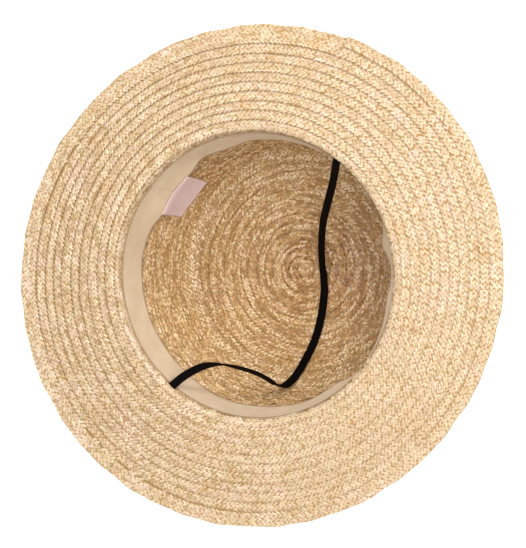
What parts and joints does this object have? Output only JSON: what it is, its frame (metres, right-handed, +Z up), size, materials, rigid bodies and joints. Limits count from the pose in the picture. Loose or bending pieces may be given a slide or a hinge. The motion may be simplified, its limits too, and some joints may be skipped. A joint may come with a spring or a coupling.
{
  "type": "straw hat",
  "caption": "Straw hat of lapped plait rows with a flat-topped crown, flat round brim, ribbon sweatband, blank tag and a flat elastic chin strap, lying upside down.",
  "frame": {"origin": "centre of the outer face of the crown's tip, which the upturned hat rests on", "axes": "+Z up, out of the head opening; +Y towards the back of the head; +X towards one side"},
  "size_m": [0.3118, 0.3018, 0.1139],
  "materials": {
    "straw": "plaited straw, satin",
    "ribbon": "matt woven ribbon",
    "elastic": "matt woven elastic",
    "tag": "satin woven tag, blank"
  },
  "bodies": {
    "root": {"crown": "straw", "brim": "straw", "sweatband": "ribbon", "chin_strap": "elastic", "label": "tag"}
  },
  "joints": []
}
